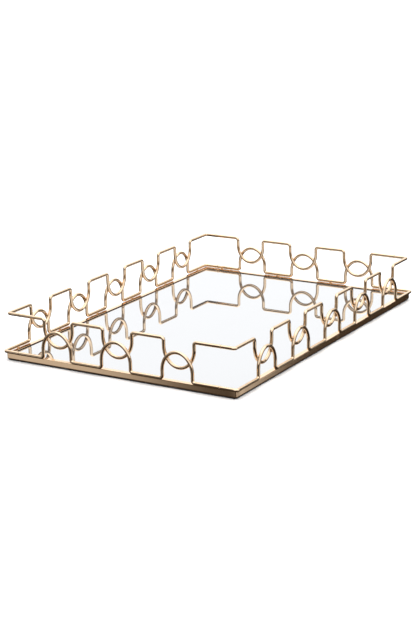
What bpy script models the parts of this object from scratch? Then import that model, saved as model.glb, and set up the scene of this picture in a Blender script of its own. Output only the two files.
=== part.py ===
"""Mirrored dresser tray with a bent-wire gallery, modelled piece by piece.

Run it with: blender --background --python part.py
Metres, +Z up. The long side runs along X, the front is at -Y, and the felt stands on z = 0.
"""

import math

import bmesh
import bpy

# Driving dimensions, in metres.
FRAME_LENGTH = 0.4954       # outside of the angle-steel frame, along X
FRAME_WIDTH = 0.3366        # outside of the frame, along Y
FRAME_FACE = 0.0076         # height of the frame's outer face
LEDGE_WIDTH = 0.0064        # width of the frame's flat top
STEEL = 0.0009              # thickness of the frame's sheet
EDGE_ROUND = 0.0006         # rounding along the frame's top outer edge
FRAME_CORNER = 0.0020       # outer radius of the frame's corners in plan
LEDGE_CORNER = 0.0003       # radius left at the ledge's inner corners
CLEARANCE = 0.0003          # gap between neighbouring solids

WIRE_DIAMETER = 0.0045
LENS_WIDTH = 0.0424         # between the two legs on either side of a lens
SQUARE_WIDTH = 0.0455       # between the two legs of a square
GALLERY_HEIGHT = 0.0515     # middle of the upper wire's flat runs above the ledge
LENS_HALF_HEIGHT = 0.0102   # from the gallery's mid-height to the tip of each dip
DIP_DEPTH = 0.0248          # height of the half ellipse at the bottom of each dip
BEND_RADIUS = 0.0036        # tight bends between a flat run and a leg
CORNER_RADIUS = 0.0032      # bends that take a wire round the tray's corners
WIRE_OVERHANG = 0.0012      # middle of the lower wire outside the frame's face
JOINT_FROM_CORNER = 0.0180  # the butt joints lie on the short sides, this far from each corner
LONG_LENSES = 5
SHORT_LENSES = 3

FELT = 0.0010
FELT_INSET = 0.0012
BOARD = 0.0022
BOARD_INSET = 0.0022
TAPE = 0.0005
TAPE_WIDTH = 0.0200
TAPE_COUNT = 4
MIRROR = 0.0030
MIRROR_INSET = 0.0016
PLATE_CORNER = 0.0030       # corner radius of mirror, board and felt in plan
TAPE_CORNER = 0.0010
TAPE_SHARE = 0.85           # tape length over frame length
TAB = 0.0005
TAB_WIDTH = 0.0100
TAB_REACH = 0.0090          # how far a tab reaches under the board
TAB_RISE = 0.0032           # how far a tab rises beside the board
LONG_TABS = (-0.150, 0.0, 0.150)
SHORT_TABS = (-0.080, 0.080)

# Heights that follow from them, from the felt's underside upwards.
TAB_LOW = FELT + CLEARANCE
BOARD_LOW = TAB_LOW + TAB + CLEARANCE
BOARD_HIGH = BOARD_LOW + BOARD
TAPE_LOW = BOARD_HIGH + CLEARANCE
TAPE_HIGH = TAPE_LOW + TAPE
MIRROR_LOW = TAPE_HIGH + CLEARANCE
MIRROR_HIGH = MIRROR_LOW + MIRROR
LEDGE_TOP = MIRROR_HIGH + CLEARANCE + STEEL
FRAME_LOW = LEDGE_TOP - FRAME_FACE

WIRE_RADIUS = WIRE_DIAMETER / 2
LOWER_RUN = LEDGE_TOP + CLEARANCE + WIRE_RADIUS
UPPER_RUN = LEDGE_TOP + GALLERY_HEIGHT
WIRE_SPACING = WIRE_DIAMETER + CLEARANCE
PITCH = LENS_WIDTH + SQUARE_WIDTH

BEND_STEPS = 3
LENS_STEPS = 10
CORNER_STEPS = 4
ROUND_STEPS = 4


def clear_scene():
    """Remove what the start-up file holds."""
    for thing in list(bpy.data.objects):
        bpy.data.objects.remove(thing, do_unlink=True)


def make_material(name, colour, roughness, metallic):
    """A Principled material of one colour."""
    material = bpy.data.materials.new(name)
    material.use_nodes = True
    shader = material.node_tree.nodes["Principled BSDF"]
    shader.inputs["Base Color"].default_value = (*colour, 1.0)
    shader.inputs["Roughness"].default_value = roughness
    shader.inputs["Metallic"].default_value = metallic
    return material


def link(name, data, material):
    """Put a mesh or curve into the scene as one named sub-part."""
    data.materials.append(material)
    thing = bpy.data.objects.new(name, data)
    bpy.context.scene.collection.objects.link(thing)
    return thing


def ellipse_arc(centre, half_width, half_height, start, end, steps):
    """Points on an elliptical arc, from start to end in degrees."""
    angles = [math.radians(start + (end - start) * i / steps) for i in range(steps + 1)]
    return [(centre[0] + half_width * math.cos(a), centre[1] + half_height * math.sin(a)) for a in angles]


def arc(centre, radius, start, end, steps):
    """Points on a circular arc, from start to end in degrees."""
    return ellipse_arc(centre, radius, radius, start, end, steps)


def extrude_outline(name, outline, low, high, material):
    """A closed solid from a plan outline (anticlockwise) and two heights."""
    build = bmesh.new()
    corners = [build.verts.new((x, y, low)) for x, y in outline]
    floor = build.faces.new(corners)
    lifted = bmesh.ops.extrude_face_region(build, geom=[floor])
    raised = [item for item in lifted["geom"] if isinstance(item, bmesh.types.BMVert)]
    bmesh.ops.translate(build, vec=(0.0, 0.0, high - low), verts=raised)
    bmesh.ops.recalc_face_normals(build, faces=build.faces)
    mesh = bpy.data.meshes.new(name)
    build.to_mesh(mesh)
    build.free()
    return link(name, mesh, material)


def rounded_slab(name, length, width, low, high, radius, material):
    """A flat slab centred on the tray, with rounded corners in plan."""
    x = length / 2 - radius
    y = width / 2 - radius
    outline = []
    for centre, start in (((x, y), 0), ((-x, y), 90), ((-x, -y), 180), ((x, -y), 270)):
        outline += arc(centre, radius, start, start + 90, ROUND_STEPS)
    return extrude_outline(name, outline, low, high, material)


def skin_rings(name, rings, material):
    """A closed solid from matching rings of points, one after the other, with flat ends."""
    build = bmesh.new()
    loops = [[build.verts.new(point) for point in ring] for ring in rings]
    count = len(loops[0])
    for near, far in zip(loops, loops[1:]):
        for i in range(count):
            after = (i + 1) % count
            build.faces.new((near[i], near[after], far[after], far[i]))
    build.faces.new(loops[0])
    build.faces.new(loops[-1])
    bmesh.ops.recalc_face_normals(build, faces=build.faces)
    mesh = bpy.data.meshes.new(name)
    build.to_mesh(mesh)
    build.free()
    return link(name, mesh, material)


def corner_ring(profile, half_length, angle):
    """The profile's points on their way round a frame corner, at 0 to 45 degrees of turn.

    Each (inset, height) point turns on a circle about its own centre: the frame's outer radius less
    the inset, but never under the ledge's inner radius. At 45 degrees all lie on the mitre.
    """
    turn = math.radians(angle)
    ring = []
    for inset, height in profile:
        radius = max(FRAME_CORNER - inset, LEDGE_CORNER)
        x = half_length - inset - radius + radius * math.sin(turn)
        y = inset + radius - radius * math.cos(turn)
        ring.append((x, y, height))
    return ring


def side_table():
    """Each side's name, its length, the distance of its outer face from the centre, and its turn."""
    return (
        ("front", FRAME_LENGTH, FRAME_WIDTH / 2, 0.0),
        ("right", FRAME_WIDTH, FRAME_LENGTH / 2, math.pi / 2),
        ("back", FRAME_LENGTH, FRAME_WIDTH / 2, math.pi),
        ("left", FRAME_WIDTH, FRAME_LENGTH / 2, -math.pi / 2),
    )


def stand_on_side(thing, distance, turn):
    """Turn a piece made for the front and move it to its own side of the frame."""
    thing.rotation_euler = (0.0, 0.0, turn)
    thing.location = (distance * math.sin(turn), -distance * math.cos(turn), 0.0)


def make_frame(material):
    """Four mitred rails of angle steel: a face, and a flat ledge over the mirror's edge."""
    rounding = arc((EDGE_ROUND, LEDGE_TOP - EDGE_ROUND), EDGE_ROUND, 90, 180, 3)
    profile = [
        (STEEL, FRAME_LOW),
        (STEEL, LEDGE_TOP - STEEL),
        (LEDGE_WIDTH, LEDGE_TOP - STEEL),
        (LEDGE_WIDTH, LEDGE_TOP),
        *rounding,
        (0.0, FRAME_LOW),
    ]
    mitre_gap = CLEARANCE / math.sqrt(2)
    for side, length, distance, turn in side_table():
        angles = [45 * i / CORNER_STEPS for i in range(CORNER_STEPS + 1)]
        right_end = [corner_ring(profile, length / 2 - mitre_gap, angle) for angle in angles]
        left_end = [[(-x, y, z) for x, y, z in ring] for ring in reversed(right_end)]
        rail = skin_rings("frame_rail_" + side, [*left_end, *right_end], material)
        rail.data.shade_smooth()
        rail.data.set_sharp_from_angle(angle=math.radians(30))
        stand_on_side(rail, distance, turn)


def make_tabs(material):
    """Bent steel tabs that hold the board up: a leg inside the frame's face, a foot under the board."""
    leg = STEEL + CLEARANCE
    profile = [
        (leg, TAB_LOW),
        (leg + TAB_REACH, TAB_LOW),
        (leg + TAB_REACH, TAB_LOW + TAB),
        (leg + TAB, TAB_LOW + TAB),
        (leg + TAB, TAB_LOW + TAB_RISE),
        (leg, TAB_LOW + TAB_RISE),
    ]
    for side, length, distance, turn in side_table():
        places = LONG_TABS if length == FRAME_LENGTH else SHORT_TABS
        for number, place in enumerate(places, start=1):
            name = "retaining_tab_" + side + "_" + str(number)
            sides = (-TAB_WIDTH / 2, TAB_WIDTH / 2)
            ends = [[(x, inset, height) for inset, height in profile] for x in sides]
            tab = skin_rings(name, ends, material)
            stand_on_side(tab, distance, turn)
            tab.location.x += place * math.cos(turn)
            tab.location.y += place * math.sin(turn)


def make_floor(mirror_material, tape_material, board_material, felt_material):
    """The mirror, the tape that sticks it to the board, the board and the felt."""
    rounded_slab("mirror_plate", FRAME_LENGTH - 2 * MIRROR_INSET, FRAME_WIDTH - 2 * MIRROR_INSET,
                 MIRROR_LOW, MIRROR_HIGH, PLATE_CORNER, mirror_material)
    rounded_slab("backing_board", FRAME_LENGTH - 2 * BOARD_INSET, FRAME_WIDTH - 2 * BOARD_INSET,
                 BOARD_LOW, BOARD_HIGH, PLATE_CORNER, board_material)
    rounded_slab("felt_base", FRAME_LENGTH - 2 * FELT_INSET, FRAME_WIDTH - 2 * FELT_INSET,
                 0.0, FELT, PLATE_CORNER, felt_material)
    spacing = FRAME_WIDTH / TAPE_COUNT
    for number in range(TAPE_COUNT):
        tape = rounded_slab("foam_tape_" + str(number + 1), FRAME_LENGTH * TAPE_SHARE, TAPE_WIDTH,
                            TAPE_LOW, TAPE_HIGH, TAPE_CORNER, tape_material)
        tape.location.y = (number - (TAPE_COUNT - 1) / 2) * spacing


def wire_outline(lenses):
    """(along, height) points of the upper wire on a side with that many lenses.

    Flat runs at the top are joined by dips: a tight bend, a leg, a half ellipse, a leg, a tight bend.
    """
    half_lens = LENS_WIDTH / 2
    dip_centre = (UPPER_RUN + LOWER_RUN) / 2 - LENS_HALF_HEIGHT + DIP_DEPTH
    bend_height = UPPER_RUN - BEND_RADIUS
    points = []
    for number in range(lenses):
        middle = (number - (lenses - 1) / 2) * PITCH
        near = (middle - half_lens - BEND_RADIUS, bend_height)
        far = (middle + half_lens + BEND_RADIUS, bend_height)
        points += arc(near, BEND_RADIUS, 90, 0, BEND_STEPS)
        points += ellipse_arc((middle, dip_centre), half_lens, DIP_DEPTH, 180, 360, LENS_STEPS)
        points += arc(far, BEND_RADIUS, 180, 90, BEND_STEPS)
    return points


def mirrored(points):
    """The lower wire's points: the upper wire's, upside down about the gallery's mid-height."""
    return [(along, UPPER_RUN + LOWER_RUN - height) for along, height in points]


def make_wire(name, points, material):
    """A round wire along the points, with flat filled ends."""
    curve = bpy.data.curves.new(name, "CURVE")
    curve.dimensions = "3D"
    curve.bevel_depth = WIRE_RADIUS
    curve.bevel_resolution = 2
    curve.use_fill_caps = True
    spline = curve.splines.new("POLY")
    spline.points.add(len(points) - 1)
    for point, place in zip(spline.points, points):
        point.co = (*place, 1.0)
    return link(name, curve, material)


def make_gallery(level, outline_of, run, half_x, half_y, material):
    """One wire round the tray, in four strips butted on the short sides near the corners.

    The front and back strips turn both corners, and the left and right strips lie between them.
    """
    joint = half_y - JOINT_FROM_CORNER
    corner = (half_x - CORNER_RADIUS, CORNER_RADIUS - half_y)
    turn = [(x, y, run) for x, y in arc(corner, CORNER_RADIUS, 270, 360, CORNER_STEPS)]
    side = [(along, -half_y, height) for along, height in outline_of(LONG_LENSES)]
    end = (half_x, -joint - CLEARANCE / 2, run)
    right_part = [*turn, end]
    left_part = [(-x, y, z) for x, y, z in reversed(right_part)]
    front = [*left_part, *side, *right_part]
    make_wire(level + "_wire_front", front, material)
    make_wire(level + "_wire_back", [(x, -y, z) for x, y, z in reversed(front)], material)

    reach = joint - CLEARANCE / 2
    short = [(-reach, run), *outline_of(SHORT_LENSES), (reach, run)]
    make_wire(level + "_wire_right", [(half_x, along, z) for along, z in short], material)
    make_wire(level + "_wire_left", [(-half_x, -along, z) for along, z in short], material)


def main():
    """Model the tray."""
    clear_scene()
    gold_frame = make_material("gold_frame", (0.72, 0.50, 0.32), 0.22, 1.0)
    gold_wire = make_material("gold_wire", (0.78, 0.56, 0.36), 0.16, 1.0)
    silvered_glass = make_material("silvered_glass", (0.90, 0.91, 0.92), 0.02, 1.0)
    foam = make_material("foam_tape", (0.80, 0.80, 0.78), 0.90, 0.0)
    hardboard = make_material("hardboard", (0.03, 0.03, 0.03), 0.70, 0.0)
    felt = make_material("felt", (0.012, 0.012, 0.013), 0.95, 0.0)
    tab_steel = make_material("tab_steel", (0.60, 0.60, 0.60), 0.35, 1.0)

    make_frame(gold_frame)
    make_tabs(tab_steel)
    make_floor(silvered_glass, foam, hardboard, felt)

    lower_x = FRAME_LENGTH / 2 + WIRE_OVERHANG
    lower_y = FRAME_WIDTH / 2 + WIRE_OVERHANG
    make_gallery("lower", lambda lenses: mirrored(wire_outline(lenses)), LOWER_RUN,
                 lower_x, lower_y, gold_wire)
    make_gallery("upper", wire_outline, UPPER_RUN,
                 lower_x - WIRE_SPACING, lower_y - WIRE_SPACING, gold_wire)


main()
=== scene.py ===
"""Mirrored dresser tray with a wire gallery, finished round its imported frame.

The surfaces are worked out with numpy as whole arrays: tubes and rails are profiles carried along
paths, beads and felt are closed rings. Metres, +Z up, the long side along X, the front at -Y.
"""

import math

import bpy
import numpy as np
from bpy.props import FloatProperty, FloatVectorProperty, IntProperty, PointerProperty
from mathutils import Matrix, Vector


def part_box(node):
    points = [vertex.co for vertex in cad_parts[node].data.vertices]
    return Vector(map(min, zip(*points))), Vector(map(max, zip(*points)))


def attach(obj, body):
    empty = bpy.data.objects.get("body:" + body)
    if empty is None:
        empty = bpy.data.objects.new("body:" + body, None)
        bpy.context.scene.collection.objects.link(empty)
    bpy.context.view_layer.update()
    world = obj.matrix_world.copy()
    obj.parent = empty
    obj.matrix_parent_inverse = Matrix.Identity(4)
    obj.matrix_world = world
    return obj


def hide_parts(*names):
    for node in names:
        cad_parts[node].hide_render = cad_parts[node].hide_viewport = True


bl_info = {
    "name": "Dresser Tray",
    "version": (1, 0, 0),
    "blender": (4, 5, 0),
    "location": "3D View > Sidebar > Tray",
    "description": "Builds a mirrored tray with a gallery of two interlaced gold wires",
    "category": "Add Mesh",
}

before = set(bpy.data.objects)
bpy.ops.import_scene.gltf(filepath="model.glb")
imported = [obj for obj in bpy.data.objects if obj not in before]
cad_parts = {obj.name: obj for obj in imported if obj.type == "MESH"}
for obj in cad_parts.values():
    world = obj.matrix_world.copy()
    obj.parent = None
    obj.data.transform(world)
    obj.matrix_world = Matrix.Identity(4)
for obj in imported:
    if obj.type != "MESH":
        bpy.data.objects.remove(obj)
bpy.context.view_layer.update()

# Places that the frame gives: the plans of the frame, the two wires and the ledge's height.
RAIL_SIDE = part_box("frame_rail_right")
RAIL_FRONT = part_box("frame_rail_front")
UPPER_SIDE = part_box("upper_wire_right")
UPPER_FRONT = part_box("upper_wire_front")
LOWER_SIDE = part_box("lower_wire_right")
LOWER_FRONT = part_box("lower_wire_front")
FELT_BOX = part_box("felt_base")
WIRE_DIAMETER = UPPER_SIDE[1].x - UPPER_SIDE[0].x
LEDGE_TOP = RAIL_SIDE[1].z
FRAME_HALF = (RAIL_SIDE[1].x, -RAIL_FRONT[0].y)
UPPER_HALF = ((UPPER_SIDE[0].x + UPPER_SIDE[1].x) / 2, -UPPER_FRONT[0].y - WIRE_DIAMETER / 2)
LOWER_HALF = ((LOWER_SIDE[0].x + LOWER_SIDE[1].x) / 2, -LOWER_FRONT[0].y - WIRE_DIAMETER / 2)
UPPER_RUN = UPPER_FRONT[1].z - WIRE_DIAMETER / 2
SETTLE = 0.00025  # the lower wire is let down this far, onto the ledge
LOWER_RUN = LOWER_FRONT[0].z + WIRE_DIAMETER / 2 - SETTLE
MIDDLE_HEIGHT = (UPPER_RUN + LOWER_RUN) / 2
STRIP_END = UPPER_SIDE[1].y
JOINT_MIDDLE = STRIP_END + 0.00015  # the middle of the gap between two strips
SIDE_STRIP_END = STRIP_END + 0.00012  # the side strips stop just short of it

# Finer sizes of the finish, in metres unless said otherwise.
DOME = 0.2  # depth of a wire end's dome, as a share of the wire's radius
RUN_STEP = 0.0009  # between points from the last dip to the strip's end
DRIFT_FADE = 0.02  # the hand-bent drift starts this far from a corner, full at twice that
DRIFT_WAVES = ((0.5, 0.31), (0.35, 0.127), (0.25, 0.061))  # share and length of each wave
BRAZE_SPREAD = 0.0042  # how far from a crossing the heat has dulled the plating
BEAD_SHARES = (0.30, 0.34, 0.5)  # half sizes of a brazed spot, as shares of its height
TACK_DEPTH, TACK_HEIGHT = 0.00115, 0.00105  # half sizes of a tack weld
SEAM_HALF = 0.0013  # half the length of a butt seam
TIGHTEST = 0.0003  # least corner radius inside a rail
FELT_CORNER = 0.0030
FELT_ROUNDING = 0.38  # how far the felt's edge rounds in, as a share of its thickness
LIP_GAP_SHADE = 0.0009  # width of the near-black band painted on the mirror beside the ledge: painted shade and dark reflection of the gap under the lip
FLOOR_SIDES = 72

SIDES = ("front", "right", "back", "left")
LONG_SIDES = ("front", "back")
TURNS = {"front": 0.0, "right": math.pi / 2, "back": math.pi, "left": -math.pi / 2}


class GallerySizes(bpy.types.PropertyGroup):
    """Sizes of the two bent wires and their joints."""

    wire: FloatProperty(
        name="Wire Diameter", description="Thickness of the round wire",
        default=WIRE_DIAMETER, min=0.001, max=0.006, unit="LENGTH")
    lens: FloatProperty(
        name="Lens Width", description="Distance between the two legs beside a lens",
        default=0.0424, min=0.02, max=0.06, unit="LENGTH")
    square: FloatProperty(
        name="Square Width", description="Distance between the two legs of a square",
        default=0.0455, min=0.02, max=0.06, unit="LENGTH")
    lens_half: FloatProperty(
        name="Lens Half Height", description="From the gallery's middle height to a lens tip",
        default=0.0102, min=0.004, max=0.02, unit="LENGTH")
    dip: FloatProperty(
        name="Dip Depth", description="Height of the half ellipse at the bottom of a dip",
        default=0.0248, min=0.01, max=0.04, unit="LENGTH")
    bend: FloatProperty(
        name="Bend Radius", description="Radius of the tight bends between a run and a leg",
        default=0.0036, min=0.002, max=0.01, unit="LENGTH")
    corner: FloatProperty(
        name="Corner Radius", description="Radius that takes a wire round the tray's corners",
        default=0.0032, min=0.0028, max=0.02, unit="LENGTH")
    bead: FloatProperty(
        name="Brazed Spot", description="Height of the filler where two wires cross",
        default=0.0056, min=0.001, max=0.008, unit="LENGTH")
    tack: FloatProperty(
        name="Tack Weld", description="Length of a tack weld between a wire and the ledge",
        default=0.0052, min=0.001, max=0.01, unit="LENGTH")
    unevenness: FloatProperty(
        name="Hand Bending", description="How far a hand-bent wire wanders from its pattern",
        default=0.00022, min=0.0, max=0.001, unit="LENGTH")
    wire_sides: IntProperty(
        name="Wire Sides", description="Faces round a wire", default=24, min=8, max=48)


class FrameSizes(bpy.types.PropertyGroup):
    """Sizes of the angle-steel frame, the mirror and the felt."""

    ledge: FloatProperty(
        name="Ledge Width", description="Width of the frame's flat top",
        default=RAIL_FRONT[1].y - RAIL_FRONT[0].y, min=0.003, max=0.02, unit="LENGTH")
    sheet: FloatProperty(
        name="Sheet", description="Thickness of the frame's steel",
        default=0.0009, min=0.0004, max=0.002, unit="LENGTH")
    corner: FloatProperty(
        name="Corner Radius", description="Outer radius of the frame's corners in plan",
        default=0.0020, min=0.001, max=0.02, unit="LENGTH")
    fold: FloatProperty(
        name="Fold Radius", description="Rounding along the frame's top outer edge",
        default=0.0006, min=0.0002, max=0.002, unit="LENGTH")
    seam: FloatProperty(
        name="Mitre Seam", description="Half the width of the hairline where two rails meet",
        default=0.00004, min=0.0, max=0.0005, unit="LENGTH")
    felt_wander: FloatProperty(
        name="Felt Edge", description="How far the felt's cut edge wanders",
        default=0.00018, min=0.0, max=0.001, unit="LENGTH")


class FinishColours(bpy.types.PropertyGroup):
    """Colours of the tray's finishes."""

    gold: FloatVectorProperty(
        name="Gold Wire", description="Plating on the two wires",
        default=(0.80, 0.61, 0.42), size=3, min=0.0, max=1.0, subtype="COLOR")
    gold_deep: FloatVectorProperty(
        name="Gold Shade", description="Plating where it is thin or worn",
        default=(0.58, 0.40, 0.25), size=3, min=0.0, max=1.0, subtype="COLOR")
    frame_gold: FloatVectorProperty(
        name="Frame Gold", description="Plating on the frame",
        default=(0.90, 0.65, 0.425), size=3, min=0.0, max=1.0, subtype="COLOR")
    frame_shade: FloatVectorProperty(
        name="Frame Shade", description="Plating along the frame's grain",
        default=(0.80, 0.55, 0.345), size=3, min=0.0, max=1.0, subtype="COLOR")
    silver: FloatVectorProperty(
        name="Mirror", description="Silvered glass",
        default=(0.640, 0.646, 0.652), size=3, min=0.0, max=1.0, subtype="COLOR")
    felt: FloatVectorProperty(
        name="Felt", description="Black felt under the tray",
        default=(0.010, 0.010, 0.011), size=3, min=0.0, max=1.0, subtype="COLOR")


class StageSettings(bpy.types.PropertyGroup):
    """The camera and the light round the tray."""

    azimuth: FloatProperty(
        name="Azimuth", description="Camera's turn round the tray; 0 looks along +Y",
        default=math.radians(-59.028), subtype="ANGLE", unit="ROTATION")
    elevation: FloatProperty(
        name="Elevation", description="Camera's height above the horizon",
        default=math.radians(15.856), subtype="ANGLE", unit="ROTATION")
    roll: FloatProperty(
        name="Roll", description="Camera's turn about its own line of sight",
        default=math.radians(-1.043), subtype="ANGLE", unit="ROTATION")
    distance: FloatProperty(
        name="Distance", description="From the camera to the point that it looks at",
        default=2.2505, min=0.1, unit="LENGTH")
    target: FloatVectorProperty(
        name="Looks At", description="The point in the middle of the view",
        default=(0.0435, 0.0433, 0.0058), size=3, subtype="TRANSLATION")
    lens: FloatProperty(
        name="Focal Length", description="Focal length in millimetres",
        default=93.99, min=10.0, max=300.0, unit="CAMERA")
    floor_radius: FloatProperty(
        name="Floor", description="Radius of the pale floor",
        default=16.0, min=1.0, max=50.0, unit="LENGTH")
    lamp: FloatProperty(
        name="Lamp", description="Power of the soft lamp overhead",
        default=20.0, min=0.0, max=2000.0, unit="POWER")


# ---------------------------------------------------------------- shader nodes

class Term:
    """A socket in a sum. Sums between terms and numbers add the Math nodes."""

    def __init__(self, nodes, socket):
        self.nodes = nodes
        self.socket = socket

    def maths(self, operation, *terms):
        return self.nodes.add("ShaderNodeMath", {"operation": operation}, dict(enumerate(terms)))

    def other(self, output):
        """Another output of the same node."""
        return Term(self.nodes, self.socket.node.outputs[output])

    def __add__(self, term):
        return self.maths("ADD", self, term)

    def __radd__(self, term):
        return self.maths("ADD", term, self)

    def __sub__(self, term):
        return self.maths("SUBTRACT", self, term)

    def __rsub__(self, term):
        return self.maths("SUBTRACT", term, self)

    def __mul__(self, term):
        return self.maths("MULTIPLY", self, term)

    def __rmul__(self, term):
        return self.maths("MULTIPLY", term, self)

    def __truediv__(self, term):
        return self.maths("DIVIDE", self, term)

    def __rtruediv__(self, term):
        return self.maths("DIVIDE", term, self)

    def between(self, low, high):
        """0 below low, 1 above high, and smooth in between."""
        values = {"Value": self, "From Min": low, "From Max": high}
        return self.nodes.add("ShaderNodeMapRange", {"interpolation_type": "SMOOTHSTEP"}, values)


class Nodes:
    """The nodes of one material or of the world."""

    def __init__(self, owner):
        owner.use_nodes = True
        self.tree = owner.node_tree

    def add(self, kind, settings=None, sockets=None, output=0):
        """A new node: its settings first, then the values or links of its sockets."""
        node = self.tree.nodes.new(kind)
        for name, value in (settings or {}).items():
            if name == "stops":
                self.set_stops(node.color_ramp, value)
            else:
                setattr(node, name, value)
        self.feed(node, sockets or {})
        return Term(self, node.outputs[output]) if node.outputs else None

    def feed(self, node, sockets):
        """Links terms to a node's sockets and sets plain values."""
        for name, value in sockets.items():
            if isinstance(value, Term):
                self.tree.links.new(value.socket, node.inputs[name])
            else:
                node.inputs[name].default_value = value

    @staticmethod
    def set_stops(ramp, stops):
        """A ramp's stops from (position, grey) pairs in rising order."""
        for _ in range(len(stops) - 2):
            ramp.elements.new(0.5)
        for element, (position, grey) in zip(ramp.elements, stops):
            element.position = position
            element.color = (grey, grey, grey, 1)

    def mix(self, share, first, second):
        """A colour between two."""
        colours = [c if isinstance(c, Term) else (*c, 1.0) for c in (first, second)]
        return self.add("ShaderNodeMix", {"data_type": "RGBA"},
                        {0: share, 6: colours[0], 7: colours[1]}, 2)

    def noise(self, vector, scale, detail=2.0, roughness=0.5):
        """Grey noise from 0 to 1."""
        return self.add("ShaderNodeTexNoise", {"noise_dimensions": "3D"},
                        {"Vector": vector, "Scale": scale, "Detail": detail,
                         "Roughness": roughness})

    def place(self, stretch=(1.0, 1.0, 1.0), turn=(0.0, 0.0, 0.0)):
        """Object coordinates, turned and stretched."""
        spot = self.add("ShaderNodeTexCoord", output="Object")
        return self.add("ShaderNodeMapping", {},
                        {"Vector": spot, "Scale": stretch, "Rotation": turn})

    def grain(self, stretch):
        """The piece's own grain coordinates, in metres along and across it, stretched."""
        spot = self.add("ShaderNodeAttribute", {"attribute_name": "grain"}, output="Vector")
        return self.add("ShaderNodeMapping", {}, {"Vector": spot, "Scale": stretch})

    def bump(self, height, strength, distance, under=None):
        """A surface normal from a height."""
        sockets = {"Height": height, "Strength": strength, "Distance": distance}
        if under:
            sockets["Normal"] = under
        return self.add("ShaderNodeBump", {}, sockets)


def finish(name, **sockets):
    """A material with a Principled shader, and its nodes; underscores in socket names are blanks."""
    material = bpy.data.materials.new(name)
    nodes = Nodes(material)
    shader = nodes.tree.nodes["Principled BSDF"]
    nodes.feed(shader, {socket.replace("_", " "): value for socket, value in sockets.items()})
    return material, nodes, shader


def gold_wire_finish(colours):
    """Bright plating on drawn wire: lines along the wire, soft waves, dull by the brazed spots."""
    material, nodes, shader = finish("gold_wire_plating", Metallic=1.0, IOR=1.45)
    lines = nodes.noise(nodes.grain((60.0, 2600.0, 2600.0)), 1.0, 3.0)
    waves = nodes.noise(nodes.grain((120.0, 160.0, 160.0)), 1.0, 2.0)
    pits = nodes.noise(nodes.place(), 2400.0, 2.0)
    near = nodes.add("ShaderNodeAttribute", {"attribute_name": "near_braze"}, output="Fac")
    tarnish = nodes.noise(nodes.place(), 60.0, 3.0).between(0.48, 0.75)
    thin = nodes.mix(tarnish * 0.35 + near * 0.45, colours.gold, colours.gold_deep)
    rough = 0.035 + 0.04 * lines + 0.05 * tarnish + 0.12 * near
    height = 0.5 * lines + 0.25 * pits.between(0.55, 0.85)
    fine = nodes.bump(height, 0.35, 0.00002)
    shape = nodes.bump(waves, 0.25, 0.00008, fine)
    nodes.feed(shader, {"Base Color": thin, "Roughness": rough, "Normal": shape})
    return material


def braze_finish(colours):
    """Brazing filler under the plating: rippled and satin."""
    material, nodes, shader = finish("gold_braze_plating", Metallic=1.0, IOR=1.45)
    ripple = nodes.noise(nodes.place(), 900.0, 3.0, 0.6)
    grit = nodes.noise(nodes.place(), 4200.0, 2.0)
    colour = nodes.mix(ripple.between(0.35, 0.7), colours.gold_deep, colours.gold)
    rough = 0.22 + 0.16 * grit
    height = ripple + 0.3 * grit
    nodes.feed(shader, {"Base Color": colour, "Roughness": rough,
                        "Normal": nodes.bump(height, 0.7, 0.0002)})
    return material


def gold_frame_finish(colours):
    """Plating on folded steel: a faint grain along each rail and a slow waviness."""
    material, nodes, shader = finish("gold_frame_plating", Metallic=1.0, IOR=1.45)
    grain = nodes.noise(nodes.grain((26.0, 5200.0, 5200.0)), 1.0, 3.0)
    streak = nodes.noise(nodes.grain((9.0, 420.0, 420.0)), 1.0, 2.0)
    waves = nodes.noise(nodes.grain((14.0, 60.0, 60.0)), 1.0, 1.0)
    wear = nodes.noise(nodes.place(), 45.0, 4.0, 0.6).between(0.55, 0.8)
    colour = nodes.mix(0.35 * streak + 0.3 * wear, colours.frame_gold, colours.frame_shade)
    rough = 0.05 + 0.06 * grain + 0.08 * wear
    fine = nodes.bump(grain, 0.25, 0.00001)
    shape = nodes.bump(waves, 0.25, 0.00015, fine)
    nodes.feed(shader, {"Base Color": colour, "Roughness": rough, "Normal": shape})
    return material


def mirror_finish(colours, ledge):
    """Silvered glass: very smooth, with faint wipe marks, specks of dust and a near-black band of
    painted shade along the ledge's inner edge.
    """
    material, nodes, shader = finish("silvered_glass", Metallic=0.92, IOR=1.5)
    wipes = nodes.noise(nodes.place((6.0, 34.0, 6.0), (0.0, 0.0, 0.5)), 1.0, 3.0, 0.6)
    cloud = nodes.noise(nodes.place(), 9.0, 2.0)
    dust = nodes.noise(nodes.place(), 900.0, 0.0).between(0.83, 0.9)
    edge_tint = [0.96 * part for part in colours.silver]
    haze = wipes.between(0.5, 0.75) * cloud.between(0.4, 0.7)
    # Painted shade: in a band along the ledge's inner edge the mirror's colour turns near-black. It
    # stands for the shadow and dark reflection in the gap under the lip.
    x = nodes.add("ShaderNodeSeparateXYZ", {}, {"Vector": nodes.place()})
    y = x.other("Y")
    past_x = x.maths("ABSOLUTE", x) - (FRAME_HALF[0] - ledge - LIP_GAP_SHADE)
    past_y = y.maths("ABSOLUTE", y) - (FRAME_HALF[1] - ledge - LIP_GAP_SHADE)
    edge = x.maths("MAXIMUM", past_x, past_y).between(-0.0002, 0.0002)
    silvered = nodes.mix(0.6 * haze + 0.4 * dust, colours.silver, edge_tint)
    nodes.feed(shader, {
        # the near-black colour here is the painted shade of the gap under the ledge's lip
        "Base Color": nodes.mix(edge, silvered, (0.03, 0.026, 0.022)),
        "Roughness": 0.012 + 0.03 * haze + 0.12 * dust})
    return material


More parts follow.
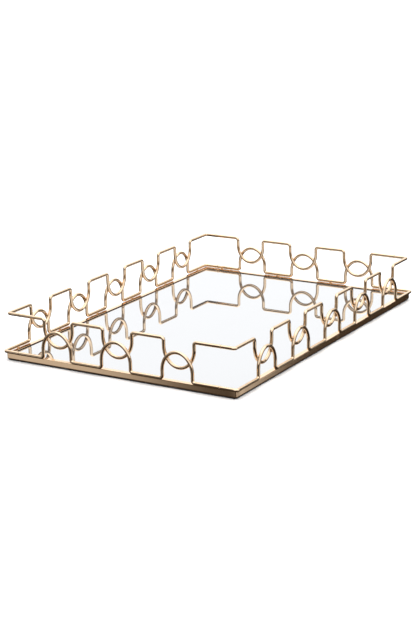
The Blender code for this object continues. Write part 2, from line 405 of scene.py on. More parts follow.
def felt_finish(colours):
    """Short-napped felt: matted fibres, uneven nap, a soft sheen."""
    material, nodes, shader = finish(
        "black_felt", Roughness=0.95, Sheen_Weight=0.35, Sheen_Roughness=0.6,
        Specular_IOR_Level=0.15)
    fibres = nodes.noise(nodes.place((1.0, 3.5, 1.0), (0.0, 0.0, 0.6)), 1500.0, 4.0, 0.7)
    crossed = nodes.noise(nodes.place((3.2, 1.0, 1.0), (0.0, 0.0, 0.2)), 1300.0, 4.0, 0.7)
    patches = nodes.noise(nodes.place(), 55.0, 3.0)
    pale = [min(1.0, 4.0 * part) for part in colours.felt]
    nap = 0.5 * fibres + 0.5 * crossed
    share = nap.between(0.45, 0.75) * (0.5 + 0.5 * patches)
    nodes.feed(shader, {
        "Base Color": nodes.mix(share, colours.felt, pale),
        "Normal": nodes.bump(nap + 0.4 * patches, 0.9, 0.0003)})
    return material


def hardboard_finish():
    """Hardboard with a black painted face, with the mesh of its back pressed in faintly."""
    material, nodes, shader = finish("black_hardboard")
    fibres = nodes.noise(nodes.place(), 700.0, 5.0, 0.7)
    blotch = nodes.noise(nodes.place(), 30.0, 2.0)
    mesh = nodes.add("ShaderNodeTexVoronoi", {"feature": "DISTANCE_TO_EDGE"},
                     {"Vector": nodes.place(), "Scale": 650.0, "Randomness": 0.15})
    colour = nodes.mix(0.6 * fibres + 0.4 * blotch, (0.020, 0.018, 0.017), (0.065, 0.055, 0.048))
    nodes.feed(shader, {"Base Color": colour, "Roughness": 0.55 + 0.3 * fibres,
                        "Normal": nodes.bump(fibres + 2.0 * mesh, 0.6, 0.0003)})
    return material


def foam_finish():
    """White foam tape with open cells."""
    material, nodes, shader = finish("white_foam_tape", Specular_IOR_Level=0.3)
    cells = nodes.add("ShaderNodeTexVoronoi", {"feature": "F1"},
                      {"Vector": nodes.place(), "Scale": 2200.0})
    stain = nodes.noise(nodes.place(), 80.0, 3.0)
    colour = nodes.mix(0.5 * cells + 0.4 * stain, (0.82, 0.81, 0.78), (0.60, 0.58, 0.54))
    nodes.feed(shader, {"Base Color": colour, "Roughness": 0.8 + 0.15 * stain,
                        "Normal": nodes.bump(cells, 0.7, 0.0002)})
    return material


def tab_finish():
    """Zinc-bright sheet steel: spangle under rolling lines."""
    material, nodes, shader = finish("zinc_steel", Metallic=1.0)
    spangle = nodes.add("ShaderNodeTexVoronoi", {"feature": "F1"},
                        {"Vector": nodes.place(), "Scale": 420.0}, "Color")
    grey = nodes.add("ShaderNodeSeparateColor", {}, {"Color": spangle})
    lines = nodes.noise(nodes.place((1.0, 60.0, 60.0)), 60.0, 3.0)
    colour = nodes.mix(grey, (0.50, 0.51, 0.53), (0.68, 0.69, 0.70))
    nodes.feed(shader, {"Base Color": colour, "Roughness": 0.28 + 0.18 * lines + 0.08 * grey,
                        "Normal": nodes.bump(lines, 0.4, 0.00003)})
    return material


# ---------------------------------------------------------------- surfaces

def ellipse(centre, half_width, half_height, start, end, steps):
    """Points of an ellipse: centre + (half width * cos a, half height * sin a), a in degrees."""
    angle = np.radians(np.linspace(start, end, steps + 1))
    return np.column_stack((centre[0] + half_width * np.cos(angle),
                            centre[1] + half_height * np.sin(angle)))


def circle(count):
    """Angles of points evenly round a circle, from 0."""
    return np.linspace(0.0, 2 * math.pi, count, endpoint=False)


def ring_faces(rings, count, capped=True):
    """Quads between neighbouring rings of count points, and fans to a centre point at each end."""
    here = np.arange((rings - 1) * count).reshape(rings - 1, count)
    after = np.roll(here, -1, axis=1)
    quads = np.stack((here, after, after + count, here + count), -1).reshape(-1, 4).tolist()
    if not capped:
        return quads
    first, last = rings * count, rings * count + 1
    rim = np.arange(count)
    turned = np.roll(rim, -1)
    low = np.stack((np.full(count, first), turned, rim), -1)
    base = (rings - 1) * count
    high = np.stack((np.full(count, last), base + rim, base + turned), -1)
    return quads + low.tolist() + high.tolist()


def signed_volume(points, faces):
    """Sum of the cone volumes from the origin to each face, positive if faces point outwards."""
    total = 0.0
    for size in (3, 4):
        same = np.array([face for face in faces if len(face) == size])
        if len(same) == 0:
            continue
        a = points[same[:, 0]]
        for second in range(1, size - 1):
            cross = np.cross(points[same[:, second]], points[same[:, second + 1]])
            total += np.einsum("ij,ij->", a, cross) / 6
    return total


def closed_skin(rings):
    """Points and outward faces of a closed skin over (ring, point, xyz), ends fanned to centres."""
    count = rings.shape[1]
    centres = np.stack((rings[0].mean(0), rings[-1].mean(0)))
    points = np.concatenate((rings.reshape(-1, 3), centres))
    faces = ring_faces(len(rings), count)
    if signed_volume(points - points.mean(0), faces) < 0:
        faces = [face[::-1] for face in faces]
    return points, faces


def join(parts):
    """Several (points, faces) as one."""
    points, faces, start = [], [], 0
    for part_points, part_faces in parts:
        points.append(part_points)
        faces += [[index + start for index in face] for face in part_faces]
        start += len(part_points)
    return np.concatenate(points), faces


def make_piece(name, points, faces, material, slot, replaces=(), sharp=None, **attributes):
    """A smooth mesh object at the origin, riding on the tray, with its own point attributes."""
    mesh = bpy.data.meshes.new(name)
    mesh.from_pydata(points.tolist(), [], faces)
    for attribute, values in attributes.items():
        values = np.asarray(values, np.float32)
        vector = values.ndim == 2
        kind = "FLOAT_VECTOR" if vector else "FLOAT"
        layer = mesh.attributes.new(attribute, kind, "POINT")
        layer.data.foreach_set("vector" if vector else "value", values.ravel())
    mesh.materials.append(material)
    mesh.shade_smooth()
    if sharp:
        mesh.set_sharp_from_angle(angle=math.radians(sharp))
    if mesh.validate():
        raise RuntimeError(name + " has faces that cannot be used")
    piece = bpy.data.objects.new(name, mesh)
    bpy.context.scene.collection.objects.link(piece)
    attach(piece, "root")
    if replaces:
        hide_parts(*replaces)
    return piece


def turn_about_z(points, angle):
    """Points turned about the tray's middle by that angle."""
    turn = np.array([[math.cos(angle), math.sin(angle), 0.0],
                     [-math.sin(angle), math.cos(angle), 0.0],
                     [0.0, 0.0, 1.0]])
    return points @ turn


def wander(along, seed, amount):
    """A slow, small, repeatable drift along a side: three sines of different lengths."""
    phases = np.random.default_rng(seed).uniform(0.0, 2 * math.pi, 3)
    return amount * sum(share * np.sin(along * 2 * math.pi / length + phase)
                        for (share, length), phase in zip(DRIFT_WAVES, phases))


def wire_outline(lenses, end, sizes):
    """The upper wire of one side drawn flat, as (distance along, height).

    Flat runs are joined by dips: a tight quarter bend, a leg, the lower half of an ellipse, a leg
    and a tight quarter bend. Runs have points every few millimetres as far as the strip's end.
    """
    half = sizes.lens / 2
    pitch = sizes.lens + sizes.square
    dip_centre = MIDDLE_HEIGHT - sizes.lens_half + sizes.dip
    bend_height = UPPER_RUN - sizes.bend
    parts = []
    for number in range(lenses):
        middle = (number - (lenses - 1) / 2) * pitch
        near = (middle - half - sizes.bend, bend_height)
        far = (middle + half + sizes.bend, bend_height)
        leg = np.linspace(bend_height, dip_centre, 6)[1:-1]
        down = np.column_stack((np.full(4, middle - half), leg))
        up = np.column_stack((np.full(4, middle + half), leg[::-1]))
        dip = ellipse((middle, dip_centre), half, sizes.dip, 180, 360, 40)
        parts += [ellipse(near, sizes.bend, sizes.bend, 90, 0, 10), down, dip, up,
                  ellipse(far, sizes.bend, sizes.bend, 180, 90, 10)]
        if number + 1 < lenses:
            run = np.linspace(parts[-1][-1, 0], middle + pitch - half - sizes.bend, 8)[1:-1]
            parts.append(np.column_stack((run, np.full(6, UPPER_RUN))))
    last = parts[-1][-1, 0]
    tail = np.linspace(last, end, max(8, int((end - last) / RUN_STEP)))[1:]
    parts.append(np.column_stack((tail, np.full(len(tail), UPPER_RUN))))
    parts.insert(0, parts[-1][::-1] * (-1, 1))
    return np.concatenate(parts)


def wrap(flat, along_half, across_half, corner):
    """A flat outline bent round the tray's corners, and the outward normal at each point.

    Up to the corner the distance runs straight; then it turns on a circle through 90 degrees; what
    is left runs back along the next side. Points come as (along, -outward, height).
    """
    side = np.sign(flat[:, 0])
    distance = np.abs(flat[:, 0])
    straight = along_half - corner
    angle = np.clip((distance - straight) / corner, 0.0, math.pi / 2)
    beyond = np.maximum(distance - straight - corner * math.pi / 2, 0.0)
    along = side * (np.minimum(distance, straight) + corner * np.sin(angle))
    outward = across_half - corner + corner * np.cos(angle) - beyond
    points = np.column_stack((along, -outward, flat[:, 1]))
    normals = np.column_stack((side * np.sin(angle), -np.cos(angle), np.zeros(len(flat))))
    return points, normals


def tube(path, normals, radius, sides):
    """A round tube with softly domed ends, and its grain coordinates.

    Each ring is path + radius * (cos a * normal + sin a * (tangent x normal)); at both ends the
    rings shrink on a quarter circle a fifth of the radius deep.
    """
    tangent = np.gradient(path, axis=0)
    tangent /= np.linalg.norm(tangent, axis=1)[:, None]
    binormal = np.cross(tangent, normals)
    lean = np.radians([80.0, 55.0, 25.0])
    size = 1 - DOME * (1 - np.cos(lean))
    reach = DOME * radius * np.sin(lean)
    shrink = np.concatenate((size, np.ones(len(path)), size[::-1]))
    push = np.concatenate((-reach, np.zeros(len(path)), reach[::-1]))
    rows = np.concatenate((np.zeros(3, int), np.arange(len(path)), np.full(3, len(path) - 1)))
    centre = path[rows] + push[:, None] * tangent[rows]
    angle = circle(sides)
    spoke = (np.cos(angle)[None, :, None] * normals[rows][:, None]
             + np.sin(angle)[None, :, None] * binormal[rows][:, None])
    rings = centre[:, None] + radius * shrink[:, None, None] * spoke
    step = np.linalg.norm(np.diff(path, axis=0), axis=1)
    length = np.concatenate(([0.0], np.cumsum(step)))[rows]
    grain = np.stack((np.broadcast_to(length[:, None], rings.shape[:2]),
                      np.broadcast_to(radius * np.cos(angle), rings.shape[:2]),
                      np.broadcast_to(radius * np.sin(angle), rings.shape[:2])), -1)
    return rings, np.concatenate((grain.reshape(-1, 3), grain[[0, -1], 0]))


def lens_count(side):
    """Lenses on a side: five on the long sides, three on the short ones."""
    return 5 if side in LONG_SIDES else 3


def side_halves(side, plan):
    """Half the extent along a side and across it, from a plan's (half length, half width)."""
    return plan if side in LONG_SIDES else plan[::-1]


def crossing_places(side, sizes):
    """Distance along and height of the points where the two wires of a side cross.

    A dip's half ellipse and its mirror image meet at the gallery's middle height, at half the lens
    width times sqrt(1 - (1 - lens half height / dip depth) squared) from the lens's middle.
    """
    lenses = lens_count(side)
    pitch = sizes.lens + sizes.square
    middles = (np.arange(lenses) - (lenses - 1) / 2) * pitch
    reach = sizes.lens / 2 * math.sqrt(1 - (1 - sizes.lens_half / sizes.dip) ** 2)
    along = np.sort(np.concatenate((middles - reach, middles + reach)))
    return along, MIDDLE_HEIGHT


def drifted(points, side, sizes):
    """A side's points moved a little in the gallery's plane, the same for both wires."""
    seed = 11 + SIDES.index(side)
    moved = points.copy()
    to_corner = side_halves(side, UPPER_HALF)[0] - np.abs(points[:, 0])
    fade = np.clip(to_corner / DRIFT_FADE - 1, 0, 1)
    lift = np.clip((points[:, 2] - LEDGE_TOP) / (UPPER_RUN - LEDGE_TOP), 0, 1)
    for axis, share in enumerate((1.0, 0.8, 0.5)):
        drift = wander(points[:, 0], seed + 40 * axis, share * sizes.unevenness)
        moved[:, axis] += fade * lift * drift
    return moved


class TRAY_OT_gallery_wires(bpy.types.Operator):
    """Bend the eight strips of the upper and the lower wire"""

    bl_idname = "tray.gallery_wires"
    bl_label = "Gallery Wires"

    def execute(self, context):
        sizes = context.scene.tray_gallery
        material = gold_wire_finish(context.scene.tray_colours)
        for side in SIDES:
            for level, plan in (("upper", UPPER_HALF), ("lower", LOWER_HALF)):
                self.make_strip(side, level, plan, sizes, material)
        return {"FINISHED"}

    def make_strip(self, side, level, plan, sizes, material):
        """One strip: front and back turn both corners, left and right lie between them."""
        along_half, across_half = side_halves(side, plan)
        if side in LONG_SIDES:
            end = along_half - (2 - math.pi / 2) * sizes.corner + across_half - JOINT_MIDDLE
        else:
            end = SIDE_STRIP_END
        flat = wire_outline(lens_count(side), end, sizes)
        if level == "lower":
            flat[:, 1] = UPPER_RUN + LOWER_RUN - flat[:, 1]
        path, normals = wrap(flat, along_half, across_half, sizes.corner)
        path = drifted(path, side, sizes)
        rings, grain = tube(path, normals, sizes.wire / 2, sizes.wire_sides)
        points, faces = closed_skin(rings)
        along, height = crossing_places(side, sizes)
        gap = np.abs(points[:, 0][:, None] - along[None]).min(1)
        away = np.hypot(gap, points[:, 2] - height)
        near = np.exp(-((away / BRAZE_SPREAD) ** 2))
        name = level + "_wire_" + side
        make_piece("gallery_" + name, turn_about_z(points, TURNS[side]), faces, material,
                   "gold_wire", (name,), 50, grain=grain, near_braze=near)


def bead(centre, halves, lean, seed, rings=12, count=18):
    """A lump of filler: a spheroid whose radius swells and dips a little, turned in its plane.

    Radius 1 + 0.1 * (two low waves round and along it), scaled by the three half sizes
    (along, outward, up), leaned in the plane of the gallery and moved to its place.
    """
    phases = np.random.default_rng(seed).uniform(0.0, 2 * math.pi, 3)
    polar = np.linspace(0.0, math.pi, rings + 2)[1:-1][:, None]
    around = circle(count)[None]
    swell = 1 + 0.10 * np.sin(polar) * (np.cos(2 * around + phases[0])
                                        + 0.7 * np.sin(3 * around + 2 * polar + phases[1]))
    shape = np.stack((swell * np.sin(polar) * np.cos(around),
                      swell * np.cos(polar) * np.ones_like(around),
                      swell * np.sin(polar) * np.sin(around)), -1) * np.asarray(halves)
    c, s = math.cos(lean), math.sin(lean)
    turned = np.stack((c * shape[..., 0] - s * shape[..., 2], shape[..., 1],
                       s * shape[..., 0] + c * shape[..., 2]), -1)
    return closed_skin(turned + np.asarray(centre))


def make_filler(name, lumps, colours):
    """Many lumps of filler, each turned to its side already, as one piece."""
    points, faces = join(lumps)
    make_piece(name, points, faces, braze_finish(colours), "gold_wire")


class TRAY_OT_brazed_spots(bpy.types.Operator):
    """Run filler between the two wires at every crossing"""

    bl_idname = "tray.brazed_spots"
    bl_label = "Brazed Spots"

    def execute(self, context):
        sizes = context.scene.tray_gallery
        spots = []
        for side in SIDES:
            along, height = crossing_places(side, sizes)
            upper = side_halves(side, UPPER_HALF)[1]
            lower = side_halves(side, LOWER_HALF)[1]
            places = np.column_stack((along, np.full(len(along), -(upper + lower) / 2),
                                      np.full(len(along), height)))
            places = drifted(places, side, sizes)
            for number, place in enumerate(places):
                seed = 100 * SIDES.index(side) + number
                vary = np.random.default_rng(seed).uniform(0.88, 1.12, 3)
                halves = vary * BEAD_SHARES * sizes.bead
                points, faces = bead(place, halves, 0.25 * (vary[0] - 1), seed)
                spots.append((turn_about_z(points, TURNS[side]), faces))
        make_filler("brazed_spots", spots, context.scene.tray_colours)
        return {"FINISHED"}


class TRAY_OT_tack_welds(bpy.types.Operator):
    """Tack the lower wire's flat runs to the frame's ledge"""

    bl_idname = "tray.tack_welds"
    bl_label = "Tack Welds"

    def execute(self, context):
        sizes = context.scene.tray_gallery
        pitch = sizes.lens + sizes.square
        radius = sizes.wire / 2
        tacks = []
        for side in SIDES:
            lenses = lens_count(side)
            along_half, across_half = side_halves(side, LOWER_HALF)
            places = list((np.arange(lenses - 1) - (lenses - 2) / 2) * pitch)
            outer = (lenses / 2) * pitch - sizes.square / 2 + sizes.bend
            between = (outer + along_half - sizes.corner) / 2
            places += [-between, between]
            for number, place in enumerate(places):
                seed = 500 + 100 * SIDES.index(side) + number
                vary = np.random.default_rng(seed).uniform(0.85, 1.15, 4)
                centre = (place + 0.004 * (vary[3] - 1), -(across_half - 0.55 * radius),
                          LOWER_RUN - 0.72 * radius)
                halves = vary[:3] * (sizes.tack / 2, TACK_DEPTH, TACK_HEIGHT)
                points, faces = bead(centre, halves, 0.0, seed)
                tacks.append((turn_about_z(points, TURNS[side]), faces))
        make_filler("tack_welds", tacks, context.scene.tray_colours)
        return {"FINISHED"}


class TRAY_OT_butt_seams(bpy.types.Operator):
    """Close the butt joints between the strips of each wire"""

    bl_idname = "tray.butt_seams"
    bl_label = "Butt Seams"

    def execute(self, context):
        sizes = context.scene.tray_gallery
        radius = sizes.wire / 2
        steps = np.linspace(-1.0, 1.0, 13)
        swell = radius * (0.99 + 0.075 * np.cos(steps * math.pi / 2))
        angle = circle(sizes.wire_sides)
        spoke = np.column_stack((np.zeros(len(angle)), np.cos(angle), np.sin(angle)))
        seams = []
        for side in ("right", "left"):
            for plan, run in ((UPPER_HALF, UPPER_RUN), (LOWER_HALF, LOWER_RUN)):
                across = side_halves(side, plan)[1]
                for end in (-1, 1):
                    middle = end * JOINT_MIDDLE
                    path = np.column_stack((middle + SEAM_HALF * steps,
                                            np.full(len(steps), -across),
                                            np.full(len(steps), run)))
                    lumps = 1 + 0.012 * np.sin(3 * angle + middle * 900)
                    rings = path[:, None] + (swell[:, None] * lumps)[..., None] * spoke
                    points, faces = closed_skin(rings)
                    seams.append((turn_about_z(points, TURNS[side]), faces))
        make_filler("butt_seams", seams, context.scene.tray_colours)
        return {"FINISHED"}


def rail_profile(sizes):
    """The angle steel's cross-section as (inset, height), with every edge rounded.

    Clockwise from the foot of the outer face: up the face, round the fold, along the ledge, round
    its lip, back under the ledge, down the inside of the face and round the foot.
    """
    low, high = RAIL_SIDE[0].z, LEDGE_TOP
    foot = 0.42 * sizes.sheet
    lip = 0.12 * sizes.sheet
    inner = 0.35 * sizes.sheet
    fold = sizes.fold
    under = high - sizes.sheet
    outer_foot = ellipse((foot, low + foot), foot, foot, 270, 180, 4)
    face = np.column_stack((np.zeros(5), np.linspace(low + foot, high - fold, 7)[1:-1]))
    crown = ellipse((fold, high - fold), fold, fold, 180, 90, 7)
    top = np.column_stack((np.linspace(fold, sizes.ledge - lip, 8)[1:-1], np.full(6, high)))
    lip_top = ellipse((sizes.ledge - lip, high - lip), lip, lip, 90, 0, 4)
    lip_low = ellipse((sizes.ledge - lip, under + lip), lip, lip, 0, -90, 4)
    root = ellipse((sizes.sheet + inner, under - inner), inner, inner, 90, 180, 4)
    inner_foot = ellipse((sizes.sheet - foot, low + foot), foot, foot, 0, -90, 4)
    return np.concatenate((outer_foot, face, crown, top, lip_top, lip_low, root, inner_foot))


class TRAY_OT_frame_rails(bpy.types.Operator):
    """Fold the four mitred rails of the frame"""

    bl_idname = "tray.frame_rails"
    bl_label = "Frame Rails"

    def execute(self, context):
        sizes = context.scene.tray_frame
        material = gold_frame_finish(context.scene.tray_colours)
        for side in SIDES:
            self.make_rail(side, sizes, material)
        return {"FINISHED"}

    def make_rail(self, side, sizes, material):
        """One rail: its profile carried along the side and half way round both corners.

        Each point of the profile turns on a circle about its own centre, with the corner's radius
        less its inset, and at 45 degrees all points lie on the mitre.
        """
        profile = rail_profile(sizes)
        inset, height = profile[:, 0], profile[:, 1]
        along_half, across_half = side_halves(side, FRAME_HALF)
        radius = np.maximum(sizes.corner - inset, TIGHTEST)
        straight = along_half - inset - radius - sizes.seam
        turn = np.radians(np.linspace(0.0, 45.0, 13))[:, None]
        corner_x = straight + radius * np.sin(turn)
        corner_y = inset + radius - radius * np.cos(turn)
        share = np.linspace(-1.0, 1.0, 26)[1:-1][:, None]
        middle_x = share * straight
        middle_y = np.broadcast_to(inset, middle_x.shape)
        x = np.concatenate((-corner_x[::-1], middle_x, corner_x))
        y = np.concatenate((corner_y[::-1], middle_y, corner_y))
        rings = np.stack((x, y - across_half, np.broadcast_to(height, x.shape)), -1)
        points, faces = closed_skin(rings)
        girth = np.concatenate(([0.0], np.cumsum(np.linalg.norm(np.diff(profile, axis=0), axis=1))))
        across = np.concatenate((np.tile(girth, len(rings)), [0.0, 0.0]))
        grain = np.column_stack((points[:, 0], across, np.full(len(points), 0.1 * len(side))))
        name = "frame_rail_" + side
        make_piece("gold_" + name, turn_about_z(points, TURNS[side]), faces, material,
                   "gold_frame", (name,), 40, grain=grain)


class TRAY_OT_mirror(bpy.types.Operator):
    """Silver the mirror plate"""

    bl_idname = "tray.mirror"
    bl_label = "Mirror"

    def execute(self, context):
        scene = context.scene
        material = mirror_finish(scene.tray_colours, scene.tray_frame.ledge)
        dress("mirror_plate", material)
        return {"FINISHED"}


def dress(node, material):
    """Gives a kept node of the frame its finish."""
    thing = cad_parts[node]
    thing.data.materials.clear()
    thing.data.materials.append(material)


class TRAY_OT_hidden_parts(bpy.types.Operator):
    """Finish the board, the foam tape and the steel tabs under the mirror"""

    bl_idname = "tray.hidden_parts"
    bl_label = "Board, Tape and Tabs"

    def execute(self, context):
        finishes = {"backing_board": (hardboard_finish(), "hardboard"),
                    "foam_tape": (foam_finish(), "foam_tape"),
                    "retaining_tab": (tab_finish(), "tab_steel")}
        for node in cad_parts:
            for start, (material, slot) in finishes.items():
                if node.startswith(start):
                    dress(node, material)
        return {"FINISHED"}


class TRAY_OT_felt(bpy.types.Operator):
    """Lay the felt under the tray"""

    bl_idname = "tray.felt"
    bl_label = "Felt"

    def execute(self, context):
        sizes = context.scene.tray_frame
        low, high = FELT_BOX
        thick = high.z - low.z
        outline, outward = self.cut_edge(high.x, high.y, FELT_CORNER, sizes.felt_wander)
        edge = np.radians(np.linspace(90.0, -90.0, 11))
        inset = FELT_ROUNDING * thick * (1 - np.cos(edge))
        rounded = thick / 2 * (1 + np.sin(edge))
        spread = np.linspace(0.03, 0.98, 24)
        share = np.concatenate((spread, np.ones(len(edge)), spread[::-1]))
        inset = np.concatenate((np.full(24, inset[0]), inset, np.full(24, inset[-1])))
        height = np.concatenate((np.full(24, thick), rounded, np.zeros(24)))
        flat = share[:, None, None] * (outline[None] - inset[:, None, None] * outward[None])
        nap = np.sin(flat[..., 0] * 210) * np.sin(flat[..., 1] * 190 + 1)
        z = low.z + height[:, None] * (0.985 + 0.015 * nap)
        points, faces = closed_skin(np.concatenate((flat, z[..., None]), -1))
        material = felt_finish(context.scene.tray_colours)
        felt = make_piece("felt_sheet", points, faces, material, "felt", ("felt_base",), 60)
        return {"FINISHED"}

    def cut_edge(self, half_length, half_width, corner, amount):
        """A rounded rectangle's outline, with points close together, and its outward normals."""
        parts, normals = [], []
        inner_x, inner_y = half_length - corner, half_width - corner
        corners = ((inner_x, inner_y), (-inner_x, inner_y), (-inner_x, -inner_y), (inner_x, -inner_y))
        for number, (x, y) in enumerate(corners):
            start = 90.0 * number
            arc = ellipse((x, y), corner, corner, start, start + 90, 8)
            angle = np.radians(np.linspace(start, start + 90, 9))
            next_x, next_y = corners[(number + 1) % 4]
            run = np.linspace(0.0, 1.0, 60 if number % 2 == 0 else 42)[1:-1][:, None]
            side = (math.cos(math.radians(start + 90)), math.sin(math.radians(start + 90)))
            first = np.array((x, y)) + corner * np.array(side)
            last = np.array((next_x, next_y)) + corner * np.array(side)
            parts += [arc, first + run * (last - first)]
            normals += [np.column_stack((np.cos(angle), np.sin(angle))),
                        np.broadcast_to(side, (len(run), 2))]
        outline, normal = np.concatenate(parts), np.concatenate(normals)
        drift = amount * (np.sin(outline[:, 0] * 90 + outline[:, 1] * 130)
                          + np.sin(outline[:, 0] * 410 - outline[:, 1] * 370) - 2.0) / 4
        return outline + drift[:, None] * normal, normal


# ---------------------------------------------------------------- stage

class TRAY_OT_stage(bpy.types.Operator):
    """Set the floor, the light and the camera"""

    bl_idname = "tray.stage"
    bl_label = "Stage"

    def execute(self, context):
        settings = context.scene.tray_stage
        self.make_floor(settings)
        self.make_light(context, settings)
        self.make_camera(context, settings)
        context.scene.view_settings.view_transform = "Standard"
        return {"FINISHED"}

    def make_floor(self, settings):
        """A disc of rings round the tray, on the felt's underside."""
        material, nodes, shader = finish("pale_floor", Roughness=0.85, Specular_IOR_Level=0.0)
        tone = nodes.noise(nodes.place(), 3.0, 2.0)
        colour = nodes.mix(tone, (0.93, 0.93, 0.93), (0.95, 0.95, 0.95))
        nodes.feed(shader, {"Base Color": colour})
        far = np.geomspace(2.0, settings.floor_radius, 5)
        radius = np.concatenate((np.linspace(0.1, 1.0, 6), far))
        angle = circle(FLOOR_SIDES)
        x = radius[:, None] * np.cos(angle)
        y = radius[:, None] * np.sin(angle)
        rings = np.stack((x, y, np.zeros_like(x)), -1)
        points = np.concatenate((rings.reshape(-1, 3), np.zeros((1, 3))))
        rim = np.arange(FLOOR_SIDES)
        centre = np.stack((np.full(FLOOR_SIDES, len(points) - 1), rim, np.roll(rim, -1)), -1)
        faces = [face[::-1] for face in ring_faces(len(radius), FLOOR_SIDES, False)]
        faces += centre.tolist()
        mesh = bpy.data.meshes.new("floor")
        mesh.from_pydata(points.tolist(), [], faces)
        mesh.materials.append(material)
        floor = bpy.data.objects.new("floor", mesh)
        bpy.context.scene.collection.objects.link(floor)
        floor.visible_glossy = False

    def make_light(self, context, settings):
        """A light tent and a soft lamp.

        By the height z of a direction, the tent is dark underneath, a ring of bright cloths and
        dark gaps from -0.31 to -0.22, the same ring dimmed above -0.12, and white from the
        overhead cloth's edge upwards. The ring's greys and the edge's height change with the
        bearing. The backdrop is white.
        """
        world = bpy.data.worlds.new("light_tent")
        context.scene.world = world
        nodes = Nodes(world)
        background = nodes.tree.nodes["Background"]
        spot = nodes.add("ShaderNodeTexCoord", output="Generated")
        x = nodes.add("ShaderNodeSeparateXYZ", {}, {"Vector": spot})
        y, z = x.other("Y"), x.other("Z")
        bearing = y.maths("ARCTAN2", y, x) / (2 * math.pi) + 0.5
        around = nodes.add("ShaderNodeValToRGB", {"stops": AROUND_STOPS}, {"Fac": bearing})
        edge = nodes.add("ShaderNodeValToRGB", {"stops": EDGE_STOPS}, {"Fac": bearing})
        overhead = ((z - edge) / EDGE_BLUR).between(0.0, 1.0)
        sky = nodes.mix(z.between(0.72, 0.86), HORIZON_LIGHT, ZENITH_LIGHT)
        below = (0 - z).between(0.31, 0.38)
        ring = nodes.mix(around, GAP_LIGHT, WHITE)
        dimmed = nodes.mix(0.5, ring, DIM_LIGHT)
        ring = nodes.mix(z.between(-0.22, -0.12), ring, dimmed)
        low = nodes.mix(below, ring, UNDER_LIGHT)
        tent = nodes.mix(overhead, low, sky)
        seen = nodes.add("ShaderNodeLightPath", output="Is Camera Ray")
        colour = nodes.mix(seen, tent, WHITE)
        nodes.feed(background, {"Color": colour, "Strength": 1.0})

        lamp = bpy.data.lights.new("overhead_lamp", "AREA")
        lamp.shape = "DISK"
        lamp.size = LAMP_SIZE
        lamp.energy = settings.lamp
        overhead = bpy.data.objects.new("overhead_lamp", lamp)
        overhead.location = LAMP_PLACE
        overhead.visible_glossy = False
        overhead.visible_camera = False
        context.scene.collection.objects.link(overhead)

    def make_camera(self, context, settings):
        """A camera that stands back from its target along the given bearing, level but for roll."""
        azimuth, elevation = settings.azimuth, settings.elevation
        back = Vector((math.sin(azimuth) * math.cos(elevation),
                       -math.cos(azimuth) * math.cos(elevation), math.sin(elevation)))
        right = (-back).cross(Vector((0, 0, 1))).normalized()
        up = right.cross(-back)
        c, s = math.cos(settings.roll), math.sin(settings.roll)
        tilted_right = c * right + s * up
        tilted_up = c * up - s * right
        place = Vector(settings.target) + back * settings.distance
        data = bpy.data.cameras.new("camera")
        data.lens = settings.lens
        data.sensor_width = 36.0
        data.clip_start, data.clip_end = 0.05, 100.0
        camera = bpy.data.objects.new("camera", data)
        axes = Matrix((tilted_right, tilted_up, back)).transposed().to_4x4()
        camera.matrix_world = Matrix.Translation(place) @ axes
        context.scene.collection.objects.link(camera)
        context.scene.camera = camera


# The tent's light: white cloth overhead, dimmer ring and gaps round the tray, dark underneath.
WHITE = (1.0, 1.0, 1.0)
HORIZON_LIGHT = (1.32, 1.33, 1.35)
ZENITH_LIGHT = (2.1, 2.1, 2.1)
DIM_LIGHT = (0.11, 0.10, 0.09)
GAP_LIGHT = (0.035, 0.022, 0.012)
UNDER_LIGHT = (0.055, 0.040, 0.028)
EDGE_BLUR = 0.14
LAMP_SIZE = 2.2
LAMP_PLACE = (0.3, 0.2, 2.6)

# The ring's grey by bearing in degrees, anticlockwise from +X.
AROUND_DEGREES = (
    (-180.0, 0.03), (-149.0, 0.01), (-112.0, 0.02), (-96.0, 0.90), (-80.0, 1.00), (-55.0, 0.80),
    (-42.0, 0.03), (-32.4, 0.02), (-30.8, 0.85), (-29.9, 0.85), (-28.8, 0.03), (-20.0, 0.01),
    (-5.0, 0.02), (10.0, 0.40), (25.0, 0.90), (60.0, 0.80), (85.0, 0.20), (137.0, 0.24),
    (140.0, 0.66), (145.2, 0.60), (148.6, 0.05), (151.0, 0.03), (153.5, 0.24), (158.0, 0.30),
    (165.0, 0.20), (180.0, 0.03),
)
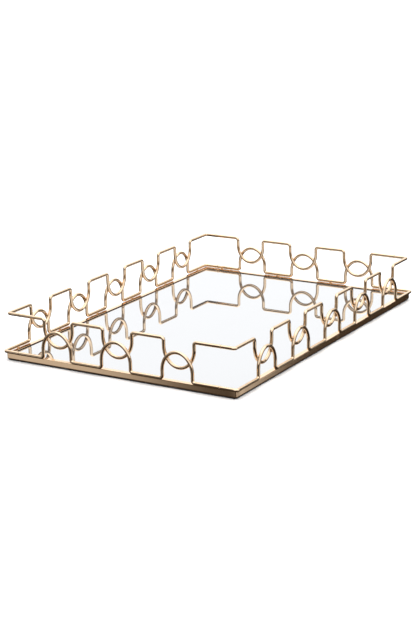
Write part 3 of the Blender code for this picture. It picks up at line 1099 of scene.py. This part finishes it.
# The height z at which the overhead cloth begins, by the same bearing.
EDGE_DEGREES = (
    (-180.0, 0.10), (-44.0, 0.10), (-39.5, 0.50), (-33.0, 0.52), (-28.5, 0.36), (-24.0, 0.16),
    (-5.0, 0.10), (10.0, 0.03), (60.0, 0.03), (80.0, 0.10), (105.0, 0.12), (125.0, 0.58),
    (158.0, 0.58), (172.0, 0.10), (180.0, 0.10),
)
AROUND_STOPS = [((degrees + 180.0) / 360.0, grey) for degrees, grey in AROUND_DEGREES]
EDGE_STOPS = [((degrees + 180.0) / 360.0, height) for degrees, height in EDGE_DEGREES]


class TRAY_PT_sidebar(bpy.types.Panel):
    """The tray's pieces and settings"""

    bl_idname = "TRAY_PT_sidebar"
    bl_label = "Dresser Tray"
    bl_space_type = "VIEW_3D"
    bl_region_type = "UI"
    bl_category = "Tray"

    def draw(self, context):
        layout = self.layout
        for operator in OPERATORS:
            layout.operator(operator.bl_idname)
        scene = context.scene
        for title, group in (("Gallery", scene.tray_gallery), ("Frame", scene.tray_frame),
                             ("Colours", scene.tray_colours), ("Stage", scene.tray_stage)):
            box = layout.box()
            box.label(text=title)
            for name in group.__annotations__:
                box.prop(group, name)


GROUPS = {"tray_gallery": GallerySizes, "tray_frame": FrameSizes,
          "tray_colours": FinishColours, "tray_stage": StageSettings}
OPERATORS = (TRAY_OT_gallery_wires, TRAY_OT_brazed_spots, TRAY_OT_tack_welds, TRAY_OT_butt_seams,
             TRAY_OT_frame_rails, TRAY_OT_mirror, TRAY_OT_hidden_parts, TRAY_OT_felt,
             TRAY_OT_stage)


def register():
    for kind in (*GROUPS.values(), *OPERATORS, TRAY_PT_sidebar):
        bpy.utils.register_class(kind)
    for name, group in GROUPS.items():
        setattr(bpy.types.Scene, name, PointerProperty(type=group))


def unregister():
    for name in GROUPS:
        delattr(bpy.types.Scene, name)
    for kind in (TRAY_PT_sidebar, *reversed(OPERATORS), *reversed(GROUPS.values())):
        bpy.utils.unregister_class(kind)


def main():
    """Build the tray and its stage."""
    register()
    for operator in OPERATORS:
        group, name = operator.bl_idname.split(".")
        getattr(getattr(bpy.ops, group), name)()


if __name__ == "__main__":
    main()
